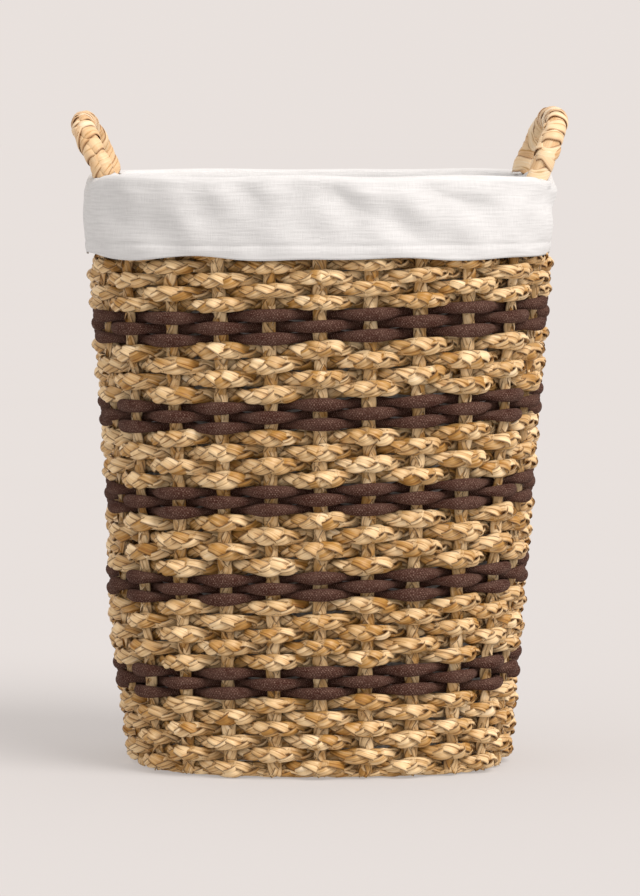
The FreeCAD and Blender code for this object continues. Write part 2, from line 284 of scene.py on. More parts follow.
def circle(count):
    """Round section without sharp sides."""
    turn = np.arange(count) / count * TURN
    return np.cos(turn), np.sin(turn), np.zeros(count, bool)


def fill_mesh(name, points, corners, totals):
    """A smooth mesh: its points, the corners of all its faces and how many each face has."""
    mesh = bpy.data.meshes.new(name)
    mesh.vertices.add(len(points))
    mesh.vertices.foreach_set("co", points.ravel())
    mesh.loops.add(len(corners))
    mesh.loops.foreach_set("vertex_index", corners)
    mesh.polygons.add(len(totals))
    mesh.polygons.foreach_set("loop_start", np.cumsum(totals) - totals)
    mesh.polygons.foreach_set("loop_total", totals)
    mesh.update(calc_edges=True)
    mesh.polygons.foreach_set("use_smooth", np.ones(len(totals), bool))
    return mesh


def add_layouts(mesh, square, fibre):
    """A mesh's two layouts: shared out in one square, and in metres along its fibres."""
    for label, layout in (("OFBake", square), ("Fibre", fibre)):
        mesh.uv_layers.new(name=label).data.foreach_set("uv", layout.ravel())


def add_object(name, mesh, material):
    """A mesh as an object of the scene, with its finish."""
    mesh.materials.append(material)
    piece = bpy.data.objects.new(name, mesh)
    bpy.context.scene.collection.objects.link(piece)
    return piece


class MeshMaker:
    """Collects strips of quads and makes one object of them.

    Each strip is a line of sections, closed round its section. Its faces hold two layouts:
    one that shares out a square between all strips, and one in metres along and around.
    """

    def __init__(self, name):
        self.name = name
        self.points, self.quads, self.caps = [], [], []
        self.fibre, self.cells = [], []
        self.tone, self.across, self.sharp = [], [], []
        self.count, self.cell_count, self.cell_sizes = 0, 0, []

    def strip(self, points, across, sharp, tone, closed):
        """Adds sections: points is rows x columns x 3."""
        rows, columns = points.shape[:2]
        faces_along = rows if closed else rows - 1
        r, c = np.meshgrid(np.arange(faces_along), np.arange(columns), indexing="ij")
        r, c = r.ravel(), c.ravel()
        after, beside = (r + 1) % rows, (c + 1) % columns
        first = self.count
        self.quads.append(first + np.stack([
            r * columns + c, r * columns + beside, after * columns + beside, after * columns + c
        ], -1))
        ring = np.concatenate([points, points[:, :1]], 1)
        girth = np.linalg.norm(np.diff(ring, axis=1), axis=2).sum(1).mean()
        middle = points.mean(1)
        steps = np.linalg.norm(np.diff(np.concatenate([middle, middle[:1]]), axis=0), axis=1)
        along = np.concatenate([[0], np.cumsum(steps)])
        total = along[faces_along]
        corners_r = np.stack([r, r, r + 1, r + 1], -1)
        corners_c = np.stack([c, c + 1, c + 1, c], -1)
        self.fibre.append(np.stack([
            along[corners_r], corners_c / columns * girth + self.cell_count * 0.137
        ], -1))
        pieces = max(1, round(total / CELL_LENGTH))
        share = math.ceil(faces_along / pieces)
        pieces = math.ceil(faces_along / share)
        cell = self.cell_count + r // share
        inside = (corners_r - (r // share * share)[:, None]) / share
        self.cells.append((cell, inside, corners_c / columns))
        self.cell_count += pieces
        self.cell_sizes.append((total / pieces, girth, pieces))
        if not closed:
            ends = np.arange(columns)
            self.caps.append(first + ends[::-1])
            self.caps.append(first + (rows - 1) * columns + ends)
        self.points.append(points.reshape(-1, 3))
        self.tone.append(np.repeat(np.broadcast_to(tone, rows), columns))
        self.across.append(np.tile(across, rows))
        self.sharp.append(np.tile(sharp, rows))
        self.count += rows * columns

    def bake_layout(self):
        """Every strip's cells laid out in one square."""
        sizes = np.array(self.cell_sizes)
        share = np.average(sizes[:, 0], weights=sizes[:, 2])
        girth = np.average(sizes[:, 1], weights=sizes[:, 2])
        columns = max(1, round(math.sqrt(self.cell_count * girth / share)))
        rows = math.ceil(self.cell_count / columns)
        layout = []
        for cell, along, around in self.cells:
            x = (cell % columns)[:, None] + CELL_MARGIN + along * (1 - 2 * CELL_MARGIN)
            y = (cell // columns)[:, None] + CELL_MARGIN + around * (1 - 2 * CELL_MARGIN)
            layout.append(np.stack([x / columns, y / rows], -1))
        return np.concatenate(layout)

    def build(self, material):
        """The finished object, in the scene."""
        quads = np.concatenate(self.quads)
        corners = np.concatenate([quads.ravel(), *self.caps])
        totals = np.array([4] * len(quads) + [len(cap) for cap in self.caps])
        mesh = fill_mesh(self.name, np.concatenate(self.points), corners, totals)
        caps = np.zeros((len(corners) - quads.size, 2))
        add_layouts(mesh, *(np.concatenate([layout.reshape(-1, 2), caps])
                            for layout in (self.bake_layout(), np.concatenate(self.fibre))))
        for label, values in (("tone", self.tone), ("across", self.across)):
            store = mesh.attributes.new(label, "FLOAT", "POINT")
            store.data.foreach_set("value", np.concatenate(values).astype(float))
        sharp = np.concatenate(self.sharp)
        if sharp.any():
            ends = np.empty(len(mesh.edges) * 2, int)
            mesh.edges.foreach_get("vertices", ends)
            store = mesh.attributes.new("sharp_edge", "BOOLEAN", "EDGE")
            store.data.foreach_set("value", sharp[ends.reshape(-1, 2)].all(1))
        return add_object(self.name, mesh, material)


def settle(piece, body, material_slot, *nodes):
    """Puts a finished piece on its body and hides the nodes it stands for; material_slot is not
    used.
    """
    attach(piece, body)
    if nodes:
        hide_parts(*nodes)


# ---------------------------------------------------------------- plaits

def plait(maker, path, side, face, phase, sizes, random, closed, section=BROAD_LEAF):
    """Three flat leaves plaited along a path.

    side and face are unit vectors across the plait and out of its face; sizes holds the
    spread, swell, leaf width and thickness, each one number or one for each section.
    """
    x, y, sharp = lens(*section)
    spread, swell, leaf, thick = sizes
    twist, scatter, narrowing = 0.80, 0.60, 0.20
    fold_depth, fold_width = 0.75, 0.17
    count = len(path)
    waves = (2, max(4, count // 10))
    for strand in range(STRANDS):
        turn = phase + TURN * strand / STRANDS
        lobe = np.floor(turn / math.pi + 0.5).astype(int)
        chance = random.random((4, lobe.max() - lobe.min() + 2))
        tint, wide, tip, full = chance[:, lobe - lobe.min()]
        across = spread * np.sin(turn) * (1 + ripple(random, count, waves, 0.06, closed))
        deep = swell * np.sin(2 * turn)
        middle = path + side * across[:, None] + face * deep[:, None]
        tangent = slope(middle, closed)
        lean = twist * np.sin(turn) + scatter * (tip - 0.5)
        normal = face * np.cos(lean)[:, None] + side * np.sin(lean)[:, None]
        width = unit(np.cross(normal, tangent))
        normal = np.cross(tangent, width)
        half = leaf / 2 * (1 - narrowing * np.sin(turn) ** 2)
        half = half * (0.90 + 0.2 * wide) * (1 + ripple(random, count, waves, 0.05, closed))
        high = thick / 2 * (0.85 + 0.3 * full)
        points = middle[:, None] + width[:, None] * (half[:, None] * x)[..., None]
        fold = x[None] - (0.9 * wide - 0.45)[:, None]
        crease = 1 - fold_depth * np.exp(-(fold / fold_width) ** 2) * (y > 0)
        points = points + normal[:, None] * (high[:, None] * y * crease)[..., None]
        tone = 0.25 * strand / STRANDS + 0.75 * tint
        maker.strip(points, x, sharp, tone, closed)


def row_path(stake, height, side, reach, lift, draw):
    """Middle line of a woven row, its upward direction and how far it swings out, -1 to 1."""
    fullness = 0.25
    angle = WALL.angle(stake)
    swing = np.cos(math.pi * stake)
    swing = side * swing * (1 + fullness - fullness * swing ** 2)
    level = height + lift
    push = WALL.wall_push(angle, level) + reach * swing - draw
    path = WALL.point(angle, push, level)
    climb = unit(UP + WALL.flare * WALL.outward(angle))
    return path, climb, swing


def lift_of(stake, height, lean):
    """How far a row stands above its level where the weaver let it climb."""
    x = WALL.point(WALL.angle(stake), WALL.flare * height, height)[:, 0]
    foot, rim = 0.10, 0.09
    room = min(1.0, height / foot) * min(1.0, (WALL.rim_low - height) / rim)
    return lean * max(room, 0) * x / WALL.half_width


def rows_of(kind):
    """Names, middle heights and heights of the rows of one kind, from the ground up."""
    rows = []
    for name in sorted(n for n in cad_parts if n.startswith(f"{kind}_row_")):
        low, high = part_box(name)
        rows.append((name, (low[2] + high[2]) / 2, high[2] - low[2]))
    return rows


def row_sides():
    """Whether each row starts outside (1) or inside (-1) the first stake, from the ground up."""
    rows = sorted(rows_of("plait") + rows_of("cord"), key=lambda row: row[1])
    return {name: 1 if i % 2 == 0 else -1 for i, (name, _height, _tall) in enumerate(rows)}


def weave_plait_rows(settings, material):
    """Every plaited row of the wall."""
    sides = row_sides()
    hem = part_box("liner_cuff")[0][2]
    hem_reach, cuff_reach = 0.012, 0.075
    foot_draw, foot_height = 0.004, 0.016
    full_height, strand_spread = 0.0118, 0.0043
    random = np.random.default_rng(7)
    for name, height, tall in rows_of("plait"):
        around = WALL.reached[-1] + TURN * WALL.flare * (height - WALL.rim_low / 2)
        periods = round(around / settings.period * random.uniform(0.90, 1.10))
        count = periods * ROW_SECTIONS
        stake = np.arange(count) / count * STAKES
        lift = lift_of(stake, height, settings.lean) + ripple(random, count, (2, 9), 0.0009)
        draw, reach = max(0.0, foot_draw * (1 - height / foot_height)), ROW_REACH
        if height > WALL.rim_top - cuff_reach:
            draw, reach = 0.0055, ROW_REACH - 0.003
        elif height > hem - hem_reach:
            draw, reach = 0.0022, ROW_REACH - 0.0012
        path, climb, swing = row_path(stake, height, sides[name], reach, lift, draw)
        face = unit(np.cross(slope(path, True), UP))
        phase = -TURN * periods * stake / STAKES + random.uniform(0, TURN)
        phase = phase + ripple(random, count, (3, 12), 0.22)
        squeeze = tall / full_height * (0.82 + 0.26 * np.abs(swing))
        sizes = (strand_spread * squeeze, settings.swell, settings.leaf_width * squeeze,
                 settings.leaf_thickness)
        maker = MeshMaker(name.replace("row", "weave"))
        plait(maker, path, climb, face, phase, sizes, random, True)
        settle(maker.build(material), "basket", "plait", name)


def weave_cord_rows(settings, lean, material):
    """Every dark cord of the wall."""
    sides = row_sides()
    sections_per_stake = 22
    pinch, inner_swell, wobble = 0.48, 0.14, 0.03
    x, y, sharp = circle(ROUND_SIDES)
    random = np.random.default_rng(11)
    for name, height, tall in rows_of("cord"):
        count = STAKES * sections_per_stake
        stake = np.arange(count) / count * STAKES
        lift = lift_of(stake, height, lean) + ripple(random, count, (2, 8), 0.0006)
        path, climb, swing = row_path(stake, height, sides[name], ROW_REACH, lift, 0.0)
        face = unit(np.cross(slope(path, True), UP))
        open_share = np.abs(swing) ** 1.5
        pinched = tall * pinch
        high = pinched + (settings.height / 2 - pinched) * open_share
        high = high * (1 + ripple(random, count, (5, 40), wobble)
                       + inner_swell * np.clip(-swing, 0, 1))
        deep = settings.depth / 2 * (0.9 + 0.1 * open_share)
        deep = deep * (1 + ripple(random, count, (5, 40), wobble))
        points = path[:, None] + face[:, None] * (deep[:, None] * x)[..., None]
        points = points - climb[:, None] * (high[:, None] * y)[..., None]
        maker = MeshMaker(name.replace("row", "weave"))
        maker.strip(points, np.zeros(len(x)), sharp, random.random(), True)
        settle(maker.build(material), "basket", "cord", name)


def stake_line(stake, low, high, periods):
    """A stake's heights, and the angle, sideways and outward directions and turns of its plait."""
    angle = float(WALL.angle(stake))
    out = WALL.outward(np.array(angle))
    height = np.linspace(low, high, round(periods * STAKE_SECTIONS))
    side = np.broadcast_to(unit(np.cross(UP, out)), (len(height), 3))
    face = np.broadcast_to(unit(out - WALL.flare * UP), (len(height), 3))
    return height, angle, side, face, TURN * periods * np.linspace(0, 1, len(height))


def plait_stakes(settings, material):
    """The upright stakes, each a narrow plait."""
    random = np.random.default_rng(23)
    stand_out, foot_drop, top_gap = 0.0016, 0.001, 0.0005
    length_up = (WALL.stake_top - WALL.stake_foot) * math.hypot(1, WALL.flare)
    periods = length_up / settings.stake_period
    sizes = (0.0037, 0.0010, settings.stake_leaf_width, 0.0024)
    for k in range(STAKES):
        height, angle, side, face, turns = stake_line(
            k, WALL.stake_foot - foot_drop, WALL.stake_top - top_gap, periods)
        count = len(height)
        path = WALL.point(np.full(count, angle), WALL.wall_push(angle, height) + stand_out, height)
        path = path + side * ripple(random, count, (1, 6), 0.0004, False)[:, None]
        phase = turns * random.choice([-1, 1])
        phase = phase + random.uniform(0, TURN)
        maker = MeshMaker(f"stake_{k + 1:02d}")
        plait(maker, path, side, face, phase, sizes, random, False, NARROW_LEAF)
        settle(maker.build(material), "basket", "stake_plait", "upright_stakes")


def plait_rings(material):
    """The border at the rim and the border strand on the ground."""
    random = np.random.default_rng(31)
    rings = [
        ("rim_border", "rim_braid", (WALL.rim_low + WALL.rim_top) / 2 - 0.001, -0.0030, 0.06,
         (0.0042, 0.0022, 0.0076, 0.0042)),
        ("foot_border", "foot_braid", 0.0052, -0.0022, 0.046,
         (0.0020, 0.0016, 0.0062, 0.0032)),
    ]
    for node, name, height, inset, period, sizes in rings:
        push = WALL.flare * height + inset
        around = WALL.reached[-1] + TURN * (push - WALL.flare * WALL.rim_low / 2)
        periods = round(around / period)
        count = periods * ROW_SECTIONS
        stake = np.arange(count) / count * STAKES
        angle = WALL.angle(stake)
        path = WALL.point(angle, push, height)
        out = WALL.outward(angle)
        climb = np.broadcast_to(UP, out.shape)
        side, face = (-out, climb) if node == "rim_border" else (climb, out)
        phase = -TURN * periods * stake / STAKES + ripple(random, count, (3, 12), 0.15)
        maker = MeshMaker(name)
        plait(maker, path, side, face, phase, sizes, random, True)
        settle(maker.build(material), "basket", "plait", node)


def lay_mat(random, material):
    """The mat of plaits on the floor."""
    low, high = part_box("floor_mat")
    inner = high[0] - WALL.half_width
    strip_width, gap, end_gap, period = 0.014, 0.0004, 0.002, 0.050
    sizes = (0.0034, 0.0016, 0.0072, 0.0034)
    pitch = strip_width + gap
    half_count = round((high[1] - strip_width / 2) / pitch)
    for i in range(-half_count, half_count + 1):
        y = i * pitch
        reach = WALL.half_across(inner, abs(y) + strip_width / 4, 0) - end_gap
        periods = 2 * reach / period
        count = round(periods * MAT_SECTIONS)
        x = np.linspace(-reach, reach, count)
        path = np.stack([x, np.full(count, y), np.full(count, (low[2] + high[2]) / 2)], -1)
        side = np.broadcast_to([0.0, 1.0, 0.0], path.shape)
        face = np.broadcast_to(UP, path.shape)
        phase = TURN * periods * np.linspace(0, 1, count) + random.uniform(0, TURN)
        maker = MeshMaker(f"mat_plait_{i + half_count + 1:02d}")
        plait(maker, path, side, face, phase, sizes, random, False, NARROW_LEAF)
        settle(maker.build(material), "basket", "plait", "floor_mat")


def lay_canes(random, material):
    """The split canes under the mat."""
    low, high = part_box("floor_battens")
    ring_inner, end_gap = -0.0073, 0.0005
    pitch, half_width, count = 0.044, 0.007, 60
    half_count = round((high[0] - half_width) / pitch)
    section_x, section_y, sharp = lens(8, 6)
    for i in range(-half_count, half_count + 1):
        x = i * pitch
        reach = WALL.half_across(ring_inner, abs(x) + half_width, 1) - end_gap
        y = np.linspace(-reach, reach, count)
        level = (low[2] + high[2]) / 2 + ripple(random, count, (1, 4), 0.0001, False)
        middle = np.stack([np.full(count, x), y, level], -1)
        wide = half_width * (0.95 + ripple(random, count, (1, 5), 0.02, False))
        thick = (high[2] - low[2]) / 2 * 0.9
        points = middle[:, None] - np.array([1.0, 0, 0]) * (wide[:, None] * section_x)[..., None]
        points = points + UP * (thick * section_y)[None, :, None]
        maker = MeshMaker(f"floor_cane_{i + half_count + 1}")
        maker.strip(points[:, ::-1], section_x[::-1], sharp[::-1], random.random(), False)
        settle(maker.build(material), "basket", "plait", "floor_battens")


# ---------------------------------------------------------------- handles

def rounded_route(corners, radii, step):
    """Points along straight runs joined by tangent arcs, and how far along each one lies."""
    arc_points = 14
    points = [corners[0]]
    for i in range(1, len(corners) - 1):
        here = corners[i]
        back, ahead = unit(corners[i - 1] - here), unit(corners[i + 1] - here)
        half = (math.pi - math.acos(float(np.clip(back @ ahead, -1, 1)))) / 2
        inside = unit(back + ahead)
        centre = here + inside * (radii[i] / math.cos(half))
        begin = here + back * radii[i] * math.tan(half)
        spoke, across = begin - centre, -back * radii[i]
        for turn in np.linspace(0, 2 * half, arc_points):
            points.append(centre + spoke * math.cos(turn) + across * math.sin(turn))
    points.append(corners[-1])
    points = np.array(points)
    reached = lengths_along(points)
    places = np.linspace(0, reached[-1], max(2, round(reached[-1] / step)))
    return along_line(places, reached, points), places


def handle_route(side):
    """Middle line of a handle, from the rim border up, over and down again.

    Each leg has its own lean in degrees and its own distance in from its stake.
    """
    bend, buried, knee_gap, step = 0.040, 0.0130, 0.012, 0.001
    out, rise, legs = {
        "left": (-1, 0.0358, ((26, 0.003), (26, 0.003))),
        "right": (1, 0.040, ((22, 0.001), (25, 0.009))),
    }[side]
    knee_height = WALL.rim_top + knee_gap
    runs = []
    for k, (degrees, inset) in zip(HANDLE_STAKES[side], legs):
        lean = math.radians(degrees)
        tilt = np.array([out * math.sin(lean), 0, math.cos(lean)])
        knee = WALL.point(np.array(float(WALL.angle(k))), WALL.flare * knee_height, knee_height)
        knee[0] -= out * inset
        runs.append([knee - tilt * buried, knee + tilt * (rise / math.cos(lean))])
    return rounded_route(runs[0] + runs[1][::-1], [0, bend, bend, 0], step)


class Winding:
    """Flat leaf wound round one handle."""

    def __init__(self, side, settings, random):
        self.settings, self.random = settings, random
        self.radius = settings.core_radius
        self.path, self.places = handle_route(side)
        tangent = slope(self.path, False)
        middle = self.path[len(self.path) // 2]
        foot = (self.path[0] + self.path[-1]) / 2
        plane = unit(np.cross(middle - foot, self.path[-1] - self.path[0]))
        self.first = unit(np.cross(tangent, np.cross(plane, tangent)))
        self.second = np.cross(tangent, self.first)
        self.maker = MeshMaker(f"handle_leaf_{side}")

    def core(self):
        """The leaf that lies straight along the wire, under the winding."""
        x, y, sharp = circle(ROUND_SIDES)
        every = slice(None, None, 3)
        spokes = self.first[every, None] * x[:, None] + self.second[every, None] * y[:, None]
        self.maker.strip(self.path[every, None] + self.radius * spokes, np.zeros(len(x)), sharp,
                         0.2, False)

    def ribbon(self, start, climb, turns, width, layer, tilt, tilt_way):
        """One ribbon from a place and a turn on the handle, round it for some turns."""
        random, radius = self.random, self.radius
        shingle, sag_depth, tuck, tuck_sections = 0.10, 0.0009, 0.0014, 3
        count = max(12, round(34 * abs(turns)))
        turn = start[1] + np.linspace(0, 1, count) * turns * TURN
        place = start[0] + climb * np.linspace(0, 1, count)
        place = place + tilt * np.cos(turn - tilt_way) * radius
        place = np.clip(place, 0.0, self.places[-1])
        at = along_line(place, self.places, self.path)
        one = unit(along_line(place, self.places, self.first))
        two = unit(along_line(place, self.places, self.second))
        out = one * np.cos(turn)[:, None] + two * np.sin(turn)[:, None]
        far = radius + layer + ripple(random, count, (1, 5), 0.00018, False)
        from_end = np.minimum(np.arange(count), np.arange(count)[::-1])
        far = far - tuck * (1 - np.minimum(1, from_end / tuck_sections))
        middle = at + out * far[:, None]
        along = slope(middle, False)
        wide = unit(np.cross(out, along))
        face = unit(out + shingle * wide)
        wide = unit(np.cross(face, along))
        face = np.cross(along, wide)
        x, y, sharp = lens(10, 4)
        half = width / 2 * (1 + ripple(random, count, (1, 4), 0.07, False))
        points = middle[:, None] + wide[:, None] * (half[:, None] * x)[..., None]
        thick = self.settings.ribbon_thickness * (0.5 + 0.5 * y)
        points = points + face[:, None] * (thick - sag_depth * x ** 4)[None, :, None]
        self.maker.strip(points, x, sharp, random.random(), False)


def wrap_handles(settings, material):
    """Flat leaf wound round each handle, turn over turn, with crossing ends bound in."""
    end_margin, lap = 0.004, 1.04
    first_crossing, crossing_end, crossing_pitch, crossing_layer = 0.02, 0.03, 0.028, 0.0013
    for seed, side in enumerate(HANDLE_STAKES):
        random = np.random.default_rng(53 + seed)
        winding = Winding(side, settings, random)
        winding.core()
        total = winding.places[-1]
        place, turn = end_margin, random.uniform(0, TURN)
        while place < total - end_margin:
            step = settings.pitch * random.uniform(0.8, 1.2)
            width = settings.ribbon_width * random.uniform(0.82, 1.12)
            tilt = random.uniform(0.1, 0.6)
            winding.ribbon((place, turn), step, lap, width, random.uniform(0.0, 0.0006), tilt,
                           random.uniform(0, TURN))
            place += step
            turn += random.uniform(-0.4, 0.4)
        for place in np.arange(first_crossing, total - crossing_end, crossing_pitch):
            way = random.choice([-1, 1])
            winding.ribbon((place, random.uniform(0, TURN)), random.uniform(0.022, 0.034),
                           way * random.uniform(0.45, 0.7),
                           settings.ribbon_width * random.uniform(0.6, 0.85),
                           crossing_layer, 0.0, 0.0)
        settle(winding.maker.build(material), "basket", "handle_leaf", f"handle_wrap_{side}")


def wrap_handle_legs(settings, material):
    """The stake plait that hides each handle wire inside the wall."""
    random = np.random.default_rng(61)
    low_gap, above_rim = 0.001, 0.004
    sizes = (0.0027, 0.0014, settings.stake_leaf_width, 0.0034)
    for side, numbers in HANDLE_STAKES.items():
        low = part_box(f"handle_core_{side}")[0][2]
        periods = (WALL.rim_top - low) / settings.stake_period
        maker = MeshMaker(f"handle_leg_{side}")
        for k in numbers:
            height, angle, along, face, turns = stake_line(
                k, low + low_gap, WALL.rim_top + above_rim, periods)
            path = WALL.point(np.full(len(height), angle), WALL.flare * height, height)
            plait(maker, path, along, face, turns, sizes, random, False, NARROW_LEAF)
        settle(maker.build(material), "basket", "handle_leaf")


# ---------------------------------------------------------------- liner

def sheet_object(name, points, cloth_size, material, thickness, cut_out=None):
    """A grid of points as a cloth of one thickness: rows down the cloth, columns round it."""
    rows, columns = points.shape[:2]
    r, c = np.meshgrid(np.arange(rows - 1), np.arange(columns), indexing="ij")
    r, c = r.ravel(), c.ravel()
    beside = (c + 1) % columns
    quads = np.stack([
        r * columns + c, (r + 1) * columns + c, (r + 1) * columns + beside, r * columns + beside
    ], -1)
    corners_r = np.stack([r, r + 1, r + 1, r], -1)
    corners_c = np.stack([c, c, c + 1, c + 1], -1)
    if cut_out is not None:
        keep = ~cut_out[quads].all(1)
        quads, corners_r, corners_c = quads[keep], corners_r[keep], corners_c[keep]
    mesh = fill_mesh(name, points.reshape(-1, 3), quads.ravel(), np.full(len(quads), 4))
    share_r, share_c = corners_r / (rows - 1), corners_c / columns
    band = (corners_c.min(1) * CLOTH_BANDS) // columns
    band = np.minimum(band, CLOTH_BANDS - 1)[:, None]
    up_band = band + BAND_MARGIN + (1 - 2 * BAND_MARGIN) * share_r
    add_layouts(mesh, np.stack([share_c * CLOTH_BANDS - band, up_band / CLOTH_BANDS], -1),
                np.stack([share_c * cloth_size[0], share_r * cloth_size[1]], -1))
    piece = add_object(name, mesh, material)
    shell = piece.modifiers.new("Cloth", "SOLIDIFY")
    shell.thickness = thickness
    shell.offset = 0
    graph = bpy.context.evaluated_depsgraph_get()
    solid = bpy.data.meshes.new_from_object(piece.evaluated_get(graph))
    piece.modifiers.clear()
    piece.data = solid
    solid.name = name
    drop_loose(solid)
    return piece


def drop_loose(mesh):
    """Removes points that no face uses."""
    work = bmesh.new()
    work.from_mesh(mesh)
    lost = [v for v in work.verts if not v.link_faces]
    bmesh.ops.delete(work, geom=lost, context="VERTS")
    work.to_mesh(mesh)
    work.free()


def wave_field(random, around, down, waves_around, waves_down, count):
    """Soft random relief over a cloth that closes round its first direction."""
    total = np.zeros(np.broadcast(around, down).shape)
    for _wave in range(count):
        a = random.integers(*waves_around)
        d = random.uniform(*waves_down)
        total += random.normal() * np.cos(TURN * (a * around + d * down + random.random()))
    return total / math.sqrt(count / 2)


def hang_liner(settings, material):
    """The cotton bag inside the basket: its wall and floor in one cloth."""
    random = np.random.default_rng(71)
    low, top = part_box("liner_floor")[0][2] + 0.0008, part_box("liner_wall")[1][2]
    columns, rise_rows, floor_rows = STAKES * 12, 104, 34
    inset, floor_step, floor_inset, floor_folds = WEAVE_REACH + LINER_GAP, 0.004, 0.003, 0.0010
    stake = np.arange(columns) / columns * STAKES
    angle = WALL.angle(stake)
    height = np.linspace(top, low + floor_step, rise_rows)[:, None]
    around, down = stake[None] / STAKES, (top - height) / (top - low)
    relief = wave_field(random, around, down, (3, 26), (0.0, 2.5), 26)
    relief = relief - relief.min()
    relief = relief / relief.max() * settings.wrinkle * 2.2
    calm = np.clip(down * 5, 0, 1) * np.clip((1 - down) * 6, 0.15, 1)
    push = WALL.flare * height - inset - relief * calm
    rise = WALL.point(np.broadcast_to(angle, push.shape), push, np.broadcast_to(height, push.shape))
    share = np.linspace(1, 0.02, floor_rows)[:, None]
    edge = WALL.point(angle, WALL.flare * low - inset - floor_inset, low)
    folds = floor_folds * (1 - share) * np.abs(
        wave_field(random, around, share, (2, 9), (0.5, 2), 8))
    bottom = np.stack([edge[:, 0] * share, edge[:, 1] * share, low + folds], -1)
    points = np.concatenate([rise, bottom])[:, ::-1]
    perimeter = np.linalg.norm(np.diff(rise[0], axis=0), axis=1).sum()
    floor_share = 0.14
    tall = (top - low) * math.hypot(1, WALL.flare) + floor_share
    piece = sheet_object("liner_bag", points, (perimeter, tall), material, settings.cloth)
    settle(piece, "liner", "cotton", "liner_wall", "liner_floor")


def cuff_profile(rows):
    """The cuff's section, inside to hem: pushes from the wall's line, heights, places, length."""
    top = WALL.rim_top + LINER_GAP
    inside, outside = -(WEAVE_REACH + LINER_GAP), 0.0120
    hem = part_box("liner_cuff")[0][2]
    bend, inside_reach, roll_inset, straight_share = 0.006, 0.020, 0.002, 0.2
    points = [(inside, top - inside_reach), (inside, top - bend)]
    for turn in np.linspace(math.pi, math.pi / 2, 7)[1:]:
        points.append((inside + bend + bend * math.cos(turn), top - bend + bend * math.sin(turn)))
    for turn in np.linspace(math.pi / 2, 0, 7):
        points.append((outside - roll_inset - bend + bend * math.cos(turn),
                       top - bend + bend * math.sin(turn)))
    points.append((outside, hem + straight_share * (top - hem)))
    points.append((outside, hem))
    points = np.array(points)
    reached = lengths_along(points)
    places = np.linspace(0, reached[-1], rows)
    push, height = along_line(places, reached, points).T
    return push, height, places, reached[-1]


def cut_handle_holes(points, depth):
    """Opens the cuff round each handle leg and dips it there; marks the points inside the holes."""
    radius, rim_width, top_depth = 0.0122, 0.0028, 0.008
    dip, dip_width, dip_depth = 0.0026, 0.010, 0.012
    hole = np.zeros(points.shape[:2], bool)
    on_top = (depth < top_depth) & np.ones(hole.shape, bool)
    for side in HANDLE_STAKES:
        route = handle_route(side)[0]
        for centre in (route[0], route[-1]):
            away = points[..., :2] - centre[:2]
            distance = np.linalg.norm(away, axis=-1)
            hug = on_top & (distance < radius)
            hole |= hug & (distance < radius - rim_width)
            scale = np.where(hug & ~hole, radius / np.maximum(distance, 1e-6), 1.0)
            points[..., :2] = centre[:2] + away * scale[..., None]
            points[..., 2] -= dip * np.exp(
                -((distance - radius) / dip_width) ** 2 - (depth / dip_depth) ** 2)
    return hole


def fold_cuff(settings, material):
    """The cuff: over the rim, down outside to a stitched hem, with a hole for each handle leg."""
    random = np.random.default_rng(83)
    columns, rows = STAKES * 22, 66
    stake = np.arange(columns) / columns * STAKES
    angle = WALL.angle(stake)
    push, height, places, cut_length = cuff_profile(rows)
    height, push = height[:, None], push[:, None]
    hem, top = height[-1, 0], height.max()
    around, down = stake[None] / STAKES, (places / cut_length)[:, None]
    skirt = np.clip((top - height) / (top - hem), 0, 1)
    outside = (push > 0) * 1.0
    relief = wave_field(random, around, down, (4, 34), (-2.6, 2.6), 40)
    soft = wave_field(random, around, down, (2, 12), (-2.0, 2.0), 16)
    relief = 0.5 * relief + 0.4 * np.abs(soft)
    calm = outside * np.clip(skirt * 5, 0, 1)
    upright = 0.2
    line = WALL.flare * height * (1 - outside) + outside * (
        WALL.flare * (hem + (height - hem) * upright))
    rightward = np.clip(np.cos(angle), 0, 1)[None] ** 2
    right_draw = 0.0042
    reach = line + push - outside * right_draw * rightward * skirt
    reach = reach + settings.wrinkle * (relief + 0.35) * calm * (1 - 0.75 * skirt ** 3) * 0.7
    crease = np.exp(-((height - hem - settings.hem) / 0.0012) ** 2)
    swell = np.exp(-((height - hem - settings.hem * 0.5) / 0.004) ** 2)
    reach = reach + outside * (0.0006 * swell - 0.0008 * crease)
    level = height + outside * np.clip(skirt - 0.9, 0, 1) * 10 * (
        ripple(random, columns, (2, 14), 0.0012)[None])
    level = level + (1 - skirt) * ripple(random, columns, (2, 10), 0.0007)[None]
    shape = (rows, columns)
    points = WALL.point(np.broadcast_to(angle, shape), np.broadcast_to(reach, shape),
                        np.broadcast_to(level, shape)).copy()
    hole = cut_handle_holes(points, top - height)
    layout_size = (1.4, cut_length)
    piece = sheet_object("liner_cuff_cloth", points, layout_size, material, settings.cloth,
                         hole.ravel())
    settle(piece, "liner", "cotton", "liner_cuff", "liner_side_flaps")


# ---------------------------------------------------------------- finishes

